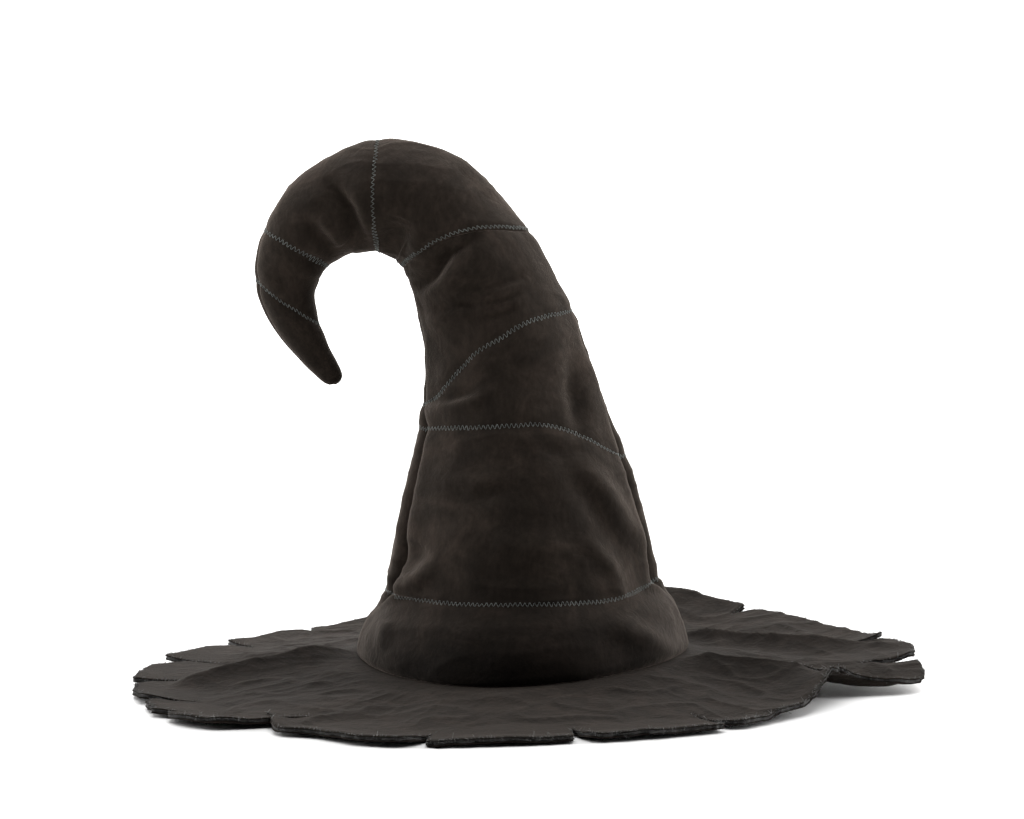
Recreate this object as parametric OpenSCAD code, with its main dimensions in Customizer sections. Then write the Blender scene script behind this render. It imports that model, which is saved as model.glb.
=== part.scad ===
/* [Head fitting] */
// Inside radius of the sweatband, for a 58 cm head
head_r = 92.5; // [91:0.5:93]
// Height of the sweatband
sweatband_h = 25; // [18:1:25]
// Thickness of the sweatband tape
sweatband_t = 1.2; // [0.8:0.1:1.4]

/* [Crown] */
// Thickness of the suede panels
suede_t = 1.8; // [1.4:0.1:2]
// Depth of the crown from front to back, as a share of its width
crown_depth = 1; // [1:0.01:1.04]
// Width of a zigzag stitched seam
seam_w = 3; // [2:0.5:4]
// Gap between the crown and the hook where the hook nods
hinge_gap = 0.3; // [0.2:0.1:0.6]

/* [Brim] */
// Thickness of each suede face of the brim
face_t = 1.1; // [0.8:0.1:1.3]
// Thickness of the felt between the faces
felt_t = 1.6; // [1:0.1:2]
// Size of the brim's edge, as a share of its usual radius
brim_scale = 1; // [0.96:0.01:1.04]
// Half the angle of each slit's mouth, in degrees
slit_half = 0.9; // [0.6:0.1:1.2]

/* [Lining] */
// Height of the lining's dome over the floor
lining_top = 104; // [98:1:106]
// Thickness of the lining
lining_t = 0.8; // [0.6:0.1:1]

/* [Hidden] */
$fn = 96;

suede = "#3b332d";
felt_grey = "#4a4846";
thread_green = "#5f6764";

// The crown's centre line, from the brim to the tip: x, z and half the width there
spine = [
    [0, 8, 103], [0, 26, 101.3], [-0.3, 44, 95], [-0.9, 60, 85.4], [-1.8, 90, 78.8], [-3.2, 126, 69.5],
    [-6.2, 159.5, 59.1], [-9.8, 191, 51.2], [-16.2, 221, 46.2], [-27.6, 252, 42],
    [-41.5, 276.5, 38.3], [-61.2, 295.6, 37.2], [-90.2, 301.9, 35], [-117.8, 293.4, 30],
    [-134.6, 278.6, 25.2], [-144.4, 261.5, 21.4], [-146.3, 243, 18], [-141, 225, 14.4],
    [-130.8, 207, 10.5], [-123.5, 197, 8.6], [-118.6, 190.6, 6.9], [-116.6, 187.3, 4.6],
    [-115.9, 185.7, 0.9]
];
tip_u = len(spine) - 1;

// Each free seam's place along the spine, in even steps across from its left to its right
seams = [
    [], [3.06, 2.99, 2.95, 2.94, 2.9, 2.88, 3.12], [6.16, 6.18, 6.16, 6.14, 6.09, 5.83, 5.28],
    [6.63, 7.22, 7.66, 7.83, 7.97, 7.99, 7.93], [], [12.15, 11.96], [14.5, 14.5], [17.4, 16.45, 15.65]
];
// How far the side seams are turned to the front at the foot, at each seam and at the tip
right_turn = [0, 16, 13, 0, 0, 0, 8, 20, 0];
left_turn = [0, 23, 20, 6, 0, 0, 0, 0, 0];
band_rows = [4, 4, 4, 4, 5, 5, 4, 7];
hook_seam = 4;
half_cols = 18;

// The nod's axis runs front to back, and the seam under the hook is an arc about it
hinge = [-16.6, 198.6];
hinge_r = 83.4;

thread_t = 0.5;
thread_lift = 0.5;
inner_thread_in = suede_t + 0.3;
inner_thread_t = 0.5;
stuffing_in = inner_thread_in + inner_thread_t + 0.4;
stuffing_cols = 20;
stuffing_bottom_u = 4.4;
crown_foot_gap = 0.2;

// The brim's edge: angle, radius and height of the underside, from the left round the front
brim_edge = [
    [-180, 241, -3], [-165, 245, -3], [-155, 246, -3], [-146, 254, -1], [-136, 256, 1], [-128, 250, 1],
    [-120, 242, -2], [-108, 251, -3], [-96, 239, -3], [-84, 229, -3], [-72, 224, -3], [-60, 221, -3],
    [-48, 212, 1], [-36, 204, 8], [-26, 197, 15], [-18, 215, 13], [-12, 246, 8], [-2, 246, 12],
    [8, 247, 16], [25, 246, 14], [45, 245, 16], [57, 245, 20], [65, 244, 30], [80, 242, 24],
    [100, 241, 12], [120, 243, 5], [140, 243, 0], [160, 241, -3]
];
// Slits in the brim: angle and the radius that each reaches in to
slits = [
    [-174, 211], [-155, 222], [-141, 232], [-127, 205], [-103, 228], [-83, 206], [-59, 190],
    [-22, 186], [-3, 210], [17, 219], [50, 227], [76, 220], [98, 214], [111, 224], [129, 225],
    [147, 212], [166, 205]
];
// Folds standing up in the brim: start x, y, end x, y, height and half width
ridges = [
    [-100, 10, -205, -45, 7, 16], [100, 60, 240, 36, 6, 14], [85, -40, 165, -68, 9, 14]
];
brim_hole_r = head_r + sweatband_t + 1.3;
brim_base_r = 104;
brim_t = 2 * face_t + felt_t;
brim_rings = [0, 0.28, 0.6, 0.85, 1];
brim_step = 8;
sweatband_z = 12;

function mix(a, b, t) = a + (b - a) * t;

// A smooth curve through a list of points
function pick(list, i) = list[max(0, min(len(list) - 1, i))];
function curve(a, b, c, d, t) =
    0.5 * (2 * b + (c - a) * t + (2 * a - 5 * b + 4 * c - d) * t * t + (3 * b - a - 3 * c + d) * t * t * t);
function station(u) =
    let (i = max(0, min(tip_u - 1, floor(u))))
    curve(pick(spine, i - 1), spine[i], spine[i + 1], pick(spine, i + 2), u - i);
function heading(u) =
    let (d = station(min(u + 0.05, tip_u)) - station(max(u - 0.05, 0)), n = norm([d[0], d[1]]))
    [d[0] / n, d[1] / n];

// A point of the crown's skin: a is 0 at the right, 90 at the front and 180 at the left
function skin(u, a, inset) =
    let (s = station(u), t = heading(u), w = max(s[2] - inset, 0.4))
    [s[0] + t[1] * w * cos(a), -sin(a) * w * crown_depth, s[1] - t[0] * w * cos(a)];

function solve_height(z, lo, hi, n = 14) =
    let (m = (lo + hi) / 2)
    n == 0 ? m : (station(m)[1] < z ? solve_height(z, m, hi, n - 1) : solve_height(z, lo, m, n - 1));

// Where the arc of radius r about the nod's axis crosses the skin at angle a, or a share of the way in
function solve_arc(r, a, inset, share = 1, lo = 8, hi = 11.6, n = 14) =
    let (m = (lo + hi) / 2, s = station(m), t = heading(m), x = (s[2] - inset) * share * cos(a))
    n == 0 ? m : (
        norm([s[0] + t[1] * x - hinge[0], s[1] - t[0] * x - hinge[1]]) < r
        ? solve_arc(r, a, inset, share, m, hi, n - 1)
        : solve_arc(r, a, inset, share, lo, m, n - 1));

// The brim seam's height: lowest at the front left and high at the right
function brim_seam_z(a) = 15.8 + 1.7 * cos(a) + 1.5 * sin(a) + 2.6 * cos(2 * a) - 1.8 * sin(2 * a);

// Where free seam k crosses the spine at angle a
function free_seam_u(k, a) =
    let (s = seams[k], x = (cos(a) + 1) / 2 * (len(s) - 1), i = max(0, min(len(s) - 2, floor(x))))
    curve(pick(s, i - 1), s[i], s[i + 1], pick(s, i + 2), x - i);

// Where seam k crosses the crown's skin; side is -1 under the hook's joint and 1 over it
function seam_u(k, a, inset, side) =
    k == 0 ? solve_height(brim_seam_z(-a) + crown_foot_gap, 0, 2)
    : k == hook_seam ? solve_arc(hinge_r + side * hinge_gap / 2, a, inset)
    : k == 8 ? tip_u
    : free_seam_u(k, a);
function row_u(k, j, a, inset) =
    mix(seam_u(k, a, inset, 1), seam_u(k + 1, a, inset, -1), j / band_rows[k]);

// The side seams' angles at row j of band k; in the lowest band they turn only near its top
function turn_share(k, j) = pow(j / band_rows[k], k == 0 ? 6 : 1);
function right_a(k, j) = mix(right_turn[k], right_turn[k + 1], turn_share(k, j));
function left_a(k, j) = 180 - mix(left_turn[k], left_turn[k + 1], turn_share(k, j));

// A closed slab between two grids of points; a closed one joins its last column to its first
module slab(outer, inner, flip, closed) {
    rows = len(outer);
    cols = len(outer[0]);
    spans = closed ? cols : cols - 1;
    function o(j, i) = j * cols + i % cols;
    function n(j, i) = rows * cols + o(j, i);
    function quad(a, b, c, d) = flip ? [[c, b, a], [d, c, a]] : [[a, b, c], [a, c, d]];
    last = rows - 1;
    faces = concat(
        [
            for (j = [0:last - 1], i = [0:spans - 1])
            each quad(o(j, i), o(j, i + 1), o(j + 1, i + 1), o(j + 1, i))
        ],
        [
            for (j = [0:last - 1], i = [0:spans - 1])
            each quad(n(j, i), n(j + 1, i), n(j + 1, i + 1), n(j, i + 1))
        ],
        [for (i = [0:spans - 1]) each quad(n(0, i), n(0, i + 1), o(0, i + 1), o(0, i))],
        [for (i = [0:spans - 1]) each quad(n(last, i), o(last, i), o(last, i + 1), n(last, i + 1))],
        closed ? [] : [for (j = [0:last - 1]) each quad(o(j, 0), o(j + 1, 0), n(j + 1, 0), n(j, 0))],
        closed ? [] : [
            for (j = [0:last - 1])
            each quad(n(j, spans), n(j + 1, spans), o(j + 1, spans), o(j, spans))
        ]
    );
    polyhedron(points = concat([for (r = outer) each r], [for (r = inner) each r]), faces = faces);
}

// A solid through closed rings of points
module loft(rings) {
    cols = len(rings[0]);
    last = len(rings) - 1;
    function p(j, i) = j * cols + i % cols;
    faces = concat(
        [for (j = [0:last - 1], i = [0:cols - 1]) each [
            [p(j + 1, i), p(j + 1, i + 1), p(j, i)], [p(j + 1, i + 1), p(j, i + 1), p(j, i)]
        ]],
        [[for (i = [0:cols - 1]) p(0, i)]],
        [[for (i = [cols - 1:-1:0]) p(last, i)]]
    );
    polyhedron(points = [for (r = rings) each r], faces = faces);
}

// One suede panel: band k's front half or back half
module panel(k, front) {
    function grid(inset) = [
        for (j = [0:band_rows[k]]) [
            for (i = [0:half_cols])
            let (from = front ? right_a(k, j) : left_a(k, j), to = front ? left_a(k, j) : 360 + right_a(k, j))
            let (a = mix(from, to, i / half_cols))
            skin(row_u(k, j, a, inset), a, inset)
        ]
    ];
    color(suede) slab(grid(0), grid(suede_t), false, false);
}

// A row of zigzag stitches over seam k; the one at the hook's joint lies on the hook alone
module zigzag(k) {
    cols = 2 * half_cols;
    function edge_u(a, side) =
        k == hook_seam
        ? solve_arc(hinge_r + hinge_gap + (1 + side) / 2 * seam_w, a, 0)
        : let (u = seam_u(k, a, 0, 0), d = station(u + 0.1) - station(u))
          u + side * seam_w / 2 * 0.1 / norm([d[0], d[1]]);
    function grid(lift) = [
        for (side = [-1, 1]) [
            for (i = [0:cols - 1]) let (a = 360 * i / cols) skin(edge_u(a, side), a, -lift)
        ]
    ];
    color(thread_green) slab(grid(thread_lift + thread_t), grid(thread_lift), false, true);
}

// The stitches of a lengthwise seam, inside the panels, from band k0 to band k1
module side_thread(k0, k1, left) {
    rows = [for (k = [k0:k1], j = [(k == k0 ? 0 : 1):band_rows[k]]) if (k > 0 || j > 0) [k, j]];
    function end_shift(k, j) = k == k0 && j == 0 ? 0.05 : (k == k1 && j == band_rows[k] ? -0.05 : 0);
    function grid(inset) = [
        for (row = rows)
        let (k = row[0], j = row[1], a = left ? left_a(k, j) : right_a(k, j))
        let (u = row_u(k, j, a, inner_thread_in) + end_shift(k, j), turn = asin(1 / station(u)[2]))
        [skin(u, a + turn, inset), skin(u, a - turn, inset)]
    ];
    color(thread_green) slab(grid(inner_thread_in), grid(inner_thread_in + inner_thread_t), left, false);
}

// A ring of the stuffing, a share f of the way out to its skin
function stuffing_ring(f, u_of) = [
    for (i = [0:stuffing_cols - 1])
    let (a = 360 * i / stuffing_cols, u = u_of(a), w = station(u)[2])
    skin(u, a, w - (w - stuffing_in) * f)
];

// Rings of the stuffing's domed end, on the cylinder about the nod's axis
function domed_end(r, shares) = [
    for (f = shares) stuffing_ring(f, function(a) solve_arc(r, a, stuffing_in, f, 7, 12))
];

module crown_stuffing() {
    flat_end = [for (f = [0.05, 0.5, 1]) stuffing_ring(f, function(a) stuffing_bottom_u)];
    wall = [
        for (k = [1:3], j = [1:band_rows[k]])
        if (k > 1 || j > 2) if (k < 3 || j < band_rows[3])
        stuffing_ring(1, function(a) row_u(k, j, a, stuffing_in))
    ];
    color("white") loft(concat(flat_end, wall, domed_end(hinge_r - hinge_gap, [1, 0.75, 0.5, 0.25, 0.04])));
}

module hook_stuffing() {
    wall = [
        for (k = [4:7], j = [1:band_rows[k]])
        if (k < 7 || j < band_rows[7])
        stuffing_ring(1, function(a) row_u(k, j, a, stuffing_in))
    ];
    color("white") loft(concat(domed_end(hinge_r + hinge_gap, [0.04, 0.25, 0.5, 0.75, 1]), wall));
}

// The brim's edge at angle a: radius and height
function edge_at(a) =
    let (n = len(brim_edge), i = max([for (j = [0:n - 1]) if (brim_edge[j][0] <= a) j]))
    let (p = brim_edge[i], q = brim_edge[(i + 1) % n], q_a = i + 1 < n ? q[0] : q[0] + 360)
    let (before = brim_edge[(i + n - 1) % n], after = brim_edge[(i + 2) % n])
    curve(before, p, q, after, (a - p[0]) / (q_a - p[0]));

function near_segment(p, a, b) =
    let (d = b - a, t = max(0, min(1, (p - a) * d / (d * d))))
    norm(p - a - d * t);
function ridge_z(x, y) = [
    for (r = ridges)
    let (d = near_segment([x, y], [r[0], r[1]], [r[2], r[3]]) / r[5])
    r[4] * exp(-d * d / 2)
] * [for (r = ridges) 1];

// The height of the brim's underside, never under the floor
function brim_z(r, a, edge) =
    let (s = max(0, (r - brim_base_r) / (edge[1] * brim_scale - brim_base_r)))
    let (base = brim_seam_z(a) - brim_t, fold = ridge_z(r * cos(a), r * sin(a)))
    max(0, base * pow(1 - s, 1.4) + edge[2] * s * s + fold * min(1, 5 * s) * (1 - s * s * s));

// The columns of the brim: a regular fan, and three about each slit, as angle and radius share
function near_slit(a) = min([for (s = slits) abs(s[0] - a)]) < brim_step * 0.4;
slit_columns = [
    for (s = slits, side = [-1, 0, 1])
    let (edge = edge_at(s[0]))
    [s[0] + side * slit_half, side == 0 ? s[1] : edge[1]]
];
fan_columns = [
    for (a = [-180:brim_step:180 - brim_step]) if (!near_slit(a)) [a, edge_at(a)[1]]
];
function sorted(list) =
    len(list) < 2 ? list
    : let (m = list[floor(len(list) / 2)][0])
      concat(
          sorted([for (p = list) if (p[0] < m) p]),
          [for (p = list) if (p[0] == m) p],
          sorted([for (p = list) if (p[0] > m) p])
      );
brim_columns = sorted(concat(slit_columns, fan_columns));

// One layer of the brim, between two heights over its underside
module brim_layer(low, high) {
    function at(col, r, lift) =
        [r * cos(col[0]), r * sin(col[0]), brim_z(r, col[0], edge_at(col[0])) + lift];
    function grid(lift) = concat(
        [[for (col = brim_columns) at(col, brim_hole_r, lift)]],
        [for (s = brim_rings) [
            for (col = brim_columns) at(col, mix(brim_base_r, col[1] * brim_scale, s), lift)
        ]]
    );
    slab(grid(high), grid(low), true, true);
}

module brim_underside() {
    color(suede) brim_layer(0, face_t);
}

module brim_felt() {
    color(felt_grey) brim_layer(face_t, face_t + felt_t);
}

module brim_top() {
    color(suede) brim_layer(face_t + felt_t, brim_t);
}

// The stitches that hold the crown to the brim, just inside the crown's edge
module brim_seam_thread() {
    cols = 2 * half_cols;
    function ring(r, lift) = [
        for (i = [0:cols - 1])
        let (a = 360 * i / cols)
        [r * cos(a), r * sin(a), brim_seam_z(a) + lift]
    ];
    r = 98.5;
    color(thread_green) slab([ring(r, 0.2), ring(r, 1)], [ring(r - 0.8, 0.2), ring(r - 0.8, 1)], true, true);
}

module sweatband() {
    color("#2a2522") translate([0, 0, sweatband_z]) difference() {
        cylinder(h = sweatband_h, r = head_r + sweatband_t);
        translate([0, 0, -1]) cylinder(h = sweatband_h + 2, r = head_r);
    }
}

module sweatband_thread() {
    r = head_r + sweatband_t;
    color(thread_green) translate([0, 0, sweatband_z + 1]) difference() {
        cylinder(h = 0.8, r = r + 0.5);
        translate([0, 0, -1]) cylinder(h = 3, r = r);
    }
}

// A dome of thin cloth that closes the space for the head
module lining() {
    rim = [head_r + sweatband_t, sweatband_z + sweatband_h];
    outer = [
        rim, rim + [-3.2, 3], [85.5, 44], [81, 52], [77, 62], [71, 78], [58, 94],
        [34, lining_top - 2], [0, lining_top]
    ];
    last = len(outer) - 1;
    inner = [
        for (i = [last:-1:0])
        [max(0, outer[i][0] - lining_t), outer[i][1] - lining_t * i / last]
    ];
    color("#23201e") rotate_extrude() polygon(concat(outer, inner));
}

panel(0, true);  // band_1_front
panel(0, false);  // band_1_back
panel(1, true);  // band_2_front
panel(1, false);  // band_2_back
panel(2, true);  // band_3_front
panel(2, false);  // band_3_back
panel(3, true);  // band_4_front
panel(3, false);  // band_4_back
panel(4, true);  // band_5_front
panel(4, false);  // band_5_back
panel(5, true);  // band_6_front
panel(5, false);  // band_6_back
panel(6, true);  // band_7_front
panel(6, false);  // band_7_back
panel(7, true);  // tip_front
panel(7, false);  // tip_back
zigzag(1);  // zigzag_1
zigzag(2);  // zigzag_2
zigzag(3);  // zigzag_3
zigzag(4);  // zigzag_4
zigzag(5);  // zigzag_5
zigzag(6);  // zigzag_6
zigzag(7);  // zigzag_7
side_thread(0, 3, false);  // crown_right_seam_thread
side_thread(0, 3, true);  // crown_left_seam_thread
side_thread(4, 6, false);  // hook_top_seam_thread
side_thread(4, 6, true);  // hook_under_seam_thread
brim_top();
brim_felt();
brim_underside();
brim_seam_thread();
sweatband();
sweatband_thread();
lining();
crown_stuffing();
hook_stuffing();
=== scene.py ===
import itertools
import math

import bpy
import numpy as np
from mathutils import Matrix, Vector
from mathutils.bvhtree import BVHTree
from mathutils.kdtree import KDTree


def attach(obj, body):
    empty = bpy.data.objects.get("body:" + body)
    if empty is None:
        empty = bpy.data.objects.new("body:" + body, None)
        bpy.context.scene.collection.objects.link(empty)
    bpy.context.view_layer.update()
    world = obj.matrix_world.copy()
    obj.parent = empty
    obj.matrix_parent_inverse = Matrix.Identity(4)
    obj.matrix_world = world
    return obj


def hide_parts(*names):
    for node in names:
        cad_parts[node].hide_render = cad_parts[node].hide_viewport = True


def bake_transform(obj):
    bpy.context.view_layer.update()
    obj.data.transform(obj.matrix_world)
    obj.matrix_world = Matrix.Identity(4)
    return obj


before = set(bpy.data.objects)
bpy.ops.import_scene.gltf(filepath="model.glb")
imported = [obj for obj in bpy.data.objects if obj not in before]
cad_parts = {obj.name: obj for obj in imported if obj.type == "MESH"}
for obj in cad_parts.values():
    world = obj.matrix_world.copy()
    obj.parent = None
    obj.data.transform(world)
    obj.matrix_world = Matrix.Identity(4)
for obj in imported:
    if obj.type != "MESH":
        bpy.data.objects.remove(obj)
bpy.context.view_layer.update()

MM = 0.001

# ---- sizes, in millimetres

HEAD_R = 92.5
SWEATBAND_H = 25.0
SWEATBAND_T = 1.2
SWEATBAND_Z = 12.0
SUEDE_T = 1.8
FACE_T = 1.1
FELT_T = 1.6
BRIM_T = 2 * FACE_T + FELT_T
BRIM_BASE_R = 104.0
# The hook's joint: x, z of its axis, the radius of the seam round it, and that seam's number
HINGE = (-16.6, 198.6)
HINGE_R = 83.4
HOOK_SEAM = 4

# The crown's centre line: x, z and half the width there
SPINE = np.array([
    (0, 8, 103), (0, 26, 101.3), (-0.3, 44, 95), (-0.9, 60, 85.4), (-1.8, 90, 78.8), (-3.2, 126, 69.5),
    (-6.2, 159.5, 59.1), (-9.8, 191, 51.2), (-16.2, 221, 46.2), (-27.6, 252, 42),
    (-41.5, 276.5, 38.3), (-61.2, 295.6, 37.2), (-90.2, 301.9, 35), (-117.8, 293.4, 30),
    (-134.6, 278.6, 25.2), (-144.4, 261.5, 21.4), (-146.3, 243, 18), (-141, 225, 14.4),
    (-130.8, 207, 10.5), (-123.5, 197, 8.6), (-118.6, 190.6, 6.9), (-116.6, 187.3, 4.6),
    (-115.9, 185.7, 0.9),
])
TIP_U = len(SPINE) - 1.0
# Each free seam's place along the centre line, in even steps across from its left to its right
SEAMS = {
    1: (3.06, 2.99, 2.95, 2.94, 2.9, 2.88, 3.12),
    2: (6.16, 6.18, 6.16, 6.14, 6.09, 5.83, 5.28),
    3: (6.63, 7.22, 7.66, 7.83, 7.97, 7.99, 7.93),
    5: (12.15, 11.96),
    6: (14.5, 14.5),
    7: (17.4, 16.45, 15.65),
}
# How far the lengthwise seams are turned to the front at the foot, at each seam and at the tip
RIGHT_TURN = (0, 16, 13, 0, 0, 0, 8, 20, 0)
LEFT_TURN = (0, 23, 20, 6, 0, 0, 0, 0, 0)
BANDS = ("band_1", "band_2", "band_3", "band_4", "band_5", "band_6", "band_7", "tip")
BAND_ROWS = (40, 68, 46, 44, 48, 52, 30, 48)
HALF_COLS = 200

# The sizes above are the CAD's. The brim's edge, slits and folds below follow the CAD's less closely
# The brim's edge: angle, radius and height of the underside
BRIM_EDGE = np.array([
    (-180, 241, -3), (-165, 245, -3), (-155, 249, -3), (-146, 258, -1), (-136, 260, 1), (-128, 254, 1),
    (-120, 245, -2), (-108, 255, -3), (-96, 244, -3), (-84, 234, -3), (-72, 229, -3), (-60, 225, -3),
    (-48, 217, 1), (-36, 212, 8), (-26, 208, 17), (-18, 215, 10), (-12, 246, 5), (-2, 246, 12),
    (8, 250, 13), (25, 246, 11), (45, 245, 16), (57, 245, 20), (65, 244, 27), (80, 242, 24),
    (100, 241, 12), (120, 243, 5), (140, 243, 0), (160, 241, -3),
])
# Slits in the brim: angle at the root, angle at the mouth, radius of the root, and how far the next flap's
# corner stands back
SLITS = (
    (-172.7, -173.9, 211, 9), (-150.7, -156.6, 222, 4), (-136, -145.5, 235, 6), (-125.8, -132.5, 208, 34),
    (-103, -103.6, 228, 2), (-82.5, -82, 204, 2), (-59, -58.6, 190, 6), (-21, -23.5, 174, 0),
    (-5, -1, 210, 3), (17, 17.6, 219, 2), (50.7, 50, 227, 3), (76, 76.8, 220, 2), (98, 97.2, 214, 3),
    (111, 111.6, 224, 3), (129, 128, 225, 4), (147, 145.6, 212, 10), (167.4, 164.6, 202, 18),
)
# Folds standing up in the brim: start x, y, end x, y, height and half width
RIDGES = ((-100, 10, -205, -45, 10, 14), (100, 60, 240, 36, 11, 11), (85, -40, 165, -68, 10, 13))


# ---- numbers: curves and noise

def mix(a, b, t):
    return a + (b - a) * t


def smooth(lo, hi, x):
    """0 under lo, 1 over hi, and an S between them."""
    t = np.clip((x - lo) / (hi - lo), 0, 1)
    return t * t * (3 - 2 * t)


def unit(v):
    """Vectors at length 1, along the last axis."""
    return v / np.maximum(np.linalg.norm(v, axis=-1, keepdims=True), 1e-9)


def running_length(line):
    """Length along a line of points up to each of them."""
    return np.concatenate([[0], np.cumsum(np.linalg.norm(np.diff(line, axis=0), axis=1))])


def catmull_rom(a, b, c, d, t):
    square = 2 * a - 5 * b + 4 * c - d
    cube = 3 * b - a - 3 * c + d
    return 0.5 * (2 * b + (c - a) * t + square * t * t + cube * t * t * t)


GRADIENTS = unit(np.random.default_rng(7).normal(size=(1024, 3)))


def noise(points, size, seed=0):
    """Smooth noise from about -1 to 1, with features of about that size, at points of shape (..., 3)."""
    q = np.asarray(points, float).reshape(-1, 3) / size + seed * 13.7
    cell = np.floor(q).astype(np.int64)
    f = q - cell
    w = f * f * f * (f * (f * 6 - 15) + 10)
    total = np.zeros(len(q))
    for corner in itertools.product((0, 1), repeat=3):
        c = cell + corner
        key = (c[:, 0] * 73856093 ^ c[:, 1] * 19349663 ^ c[:, 2] * 83492791) & 1023
        near = (GRADIENTS[key] * (f - corner)).sum(1)
        total += near * np.prod(np.where(corner, w, 1 - w), axis=1)
    return (total * 1.7).reshape(np.shape(points)[:-1])


# ---- meshes

def make_mesh(name, points, faces, material, smooth_shade=True):
    """A new object from points in millimetres and faces as lists of indices."""
    mesh = bpy.data.meshes.new(name)
    mesh.from_pydata((np.asarray(points) * MM).tolist(), [], faces)
    mesh.materials.append(material)
    if smooth_shade:
        mesh.polygons.foreach_set("use_smooth", np.ones(len(mesh.polygons), bool))
    rest = mesh.attributes.new("rest_place", "FLOAT_VECTOR", "POINT")
    rest.data.foreach_set("vector", (np.asarray(points) * MM).astype(np.float32).ravel())
    mesh.validate()
    mesh.update()
    obj = bpy.data.objects.new(name, mesh)
    bpy.context.scene.collection.objects.link(obj)
    return obj


def grid_faces(rows, cols, closed=False, start=0):
    spans = cols if closed else cols - 1
    j, i = np.mgrid[0:rows - 1, 0:spans]
    a = j * cols + i
    b = j * cols + (i + 1) % cols
    return np.stack([a, b, b + cols, a + cols], -1).reshape(-1, 4) + start


def grid_normals(grid, closed=False):
    """Unit normals of a grid of points; they point out where columns run anticlockwise and rows run up."""
    if closed:
        across = np.roll(grid, -1, 1) - np.roll(grid, 1, 1)
    else:
        across = np.gradient(grid, axis=1)
    return unit(np.cross(across, np.gradient(grid, axis=0)))


def slab(outer, inner, closed=False):
    """Points and faces of a solid sheet between an outer grid of points and an inner one."""
    rows, cols = outer.shape[:2]
    top = grid_faces(rows, cols, closed)
    size = rows * cols
    faces = [top, top[:, ::-1] + size]
    spans = cols if closed else cols - 1
    i = np.arange(spans)
    j = np.arange(rows - 1)
    first, second = i, (i + 1) % cols
    faces.append(np.stack([second, first, first + size, second + size], -1))
    first, second = first + (rows - 1) * cols, second + (rows - 1) * cols
    faces.append(np.stack([first, second, second + size, first + size], -1))
    if not closed:
        low, high = j * cols, (j + 1) * cols
        faces.append(np.stack([low, high, high + size, low + size], -1))
        low, high = low + cols - 1, high + cols - 1
        faces.append(np.stack([high, low, low + size, high + size], -1))
    points = np.concatenate([outer.reshape(-1, 3), inner.reshape(-1, 3)])
    return points, np.concatenate(faces).tolist()


def tube(path, radius, sides=6, closed=False):
    """Points and faces of a round tube along a path of points."""
    path = np.asarray(path, float)
    if closed:
        tangent = np.roll(path, -1, 0) - np.roll(path, 1, 0)
    else:
        tangent = np.gradient(path, axis=0)
    tangent = unit(tangent)
    side = unit(np.cross(tangent, (0.31, 0.55, 0.77)))
    other = np.cross(tangent, side)
    turn = np.linspace(0, 2 * math.pi, sides, endpoint=False)
    rings = path[:, None] + radius * (
        np.cos(turn)[None, :, None] * side[:, None] + np.sin(turn)[None, :, None] * other[:, None]
    )
    rows = len(path) + (1 if closed else 0)
    i, j = np.mgrid[0:rows - 1, 0:sides]
    a = (i % len(path)) * sides + j
    b = (i % len(path)) * sides + (j + 1) % sides
    step = (((i + 1) % len(path)) - (i % len(path))) * sides
    faces = np.stack([a, b, b + step, a + step], -1).reshape(-1, 4).tolist()
    if not closed:
        faces.append(list(range(sides))[::-1])
        faces.append([(len(path) - 1) * sides + k for k in range(sides)])
    return rings.reshape(-1, 3), faces


def join_parts(parts):
    """Several (points, faces) as one."""
    points, faces, start = [], [], 0
    for p, f in parts:
        points.append(p)
        faces.extend([[k + start for k in face] for face in f])
        start += len(p)
    return np.concatenate(points), faces


# ---- materials

def new_material(name):
    material = bpy.data.materials.new(name)
    material.use_nodes = True
    return material, material.node_tree


def node(tree, kind, **values):
    made = tree.nodes.new(kind)
    for key, value in values.items():
        if key in made.inputs:
            made.inputs[key].default_value = value
        else:
            setattr(made, key, value)
    return made


def place_of(tree):
    """Where a point is at rest, so that the grain stays on a piece that bends."""
    return node(tree, "ShaderNodeAttribute", attribute_name="rest_place").outputs["Vector"]


def noise_node(tree, vector, scale, detail=3.0, roughness=0.55, distortion=0.0):
    made = node(
        tree, "ShaderNodeTexNoise", Scale=scale, Detail=detail, Roughness=roughness, Distortion=distortion
    )
    tree.links.new(vector, made.inputs["Vector"])
    return made.outputs["Fac"]


def ramp(tree, value, stops):
    """A colour ramp; stops are (place, colour)."""
    made = node(tree, "ShaderNodeValToRGB")
    while len(made.color_ramp.elements) < len(stops):
        made.color_ramp.elements.new(0.5)
    for element, (at, colour) in zip(made.color_ramp.elements, stops):
        element.position = at
        element.color = (*colour, 1)
    tree.links.new(value, made.inputs["Fac"])
    return made.outputs["Color"]


def maths(tree, kind, a, b):
    made = node(tree, "ShaderNodeMath", operation=kind)
    for socket, value in zip(made.inputs, (a, b)):
        if isinstance(value, (int, float)):
            socket.default_value = value
        else:
            tree.links.new(value, socket)
    return made.outputs["Value"]


def mixed(tree, kind, share, a, b):
    made = node(tree, "ShaderNodeMix", data_type="RGBA", blend_type=kind)
    for socket, value in zip((made.inputs[0], made.inputs[6], made.inputs[7]), (share, a, b)):
        if isinstance(value, (int, float)):
            socket.default_value = value
        elif isinstance(value, tuple):
            socket.default_value = (*value, 1)
        else:
            tree.links.new(value, socket)
    return made.outputs[2]


def bump(tree, height, strength, distance, under=None):
    made = node(tree, "ShaderNodeBump", Strength=strength, Distance=distance)
    tree.links.new(height, made.inputs["Height"])
    if under is not None:
        tree.links.new(under, made.inputs["Normal"])
    return made.outputs["Normal"]


def eased_range(tree, value, lo, hi):
    """0 at lo and 1 at hi, with an S between them."""
    ends = {"From Min": lo, "From Max": hi}
    made = node(tree, "ShaderNodeMapRange", interpolation_type="SMOOTHSTEP", **ends)
    tree.links.new(value, made.inputs["Value"])
    return made.outputs["Result"]


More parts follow.
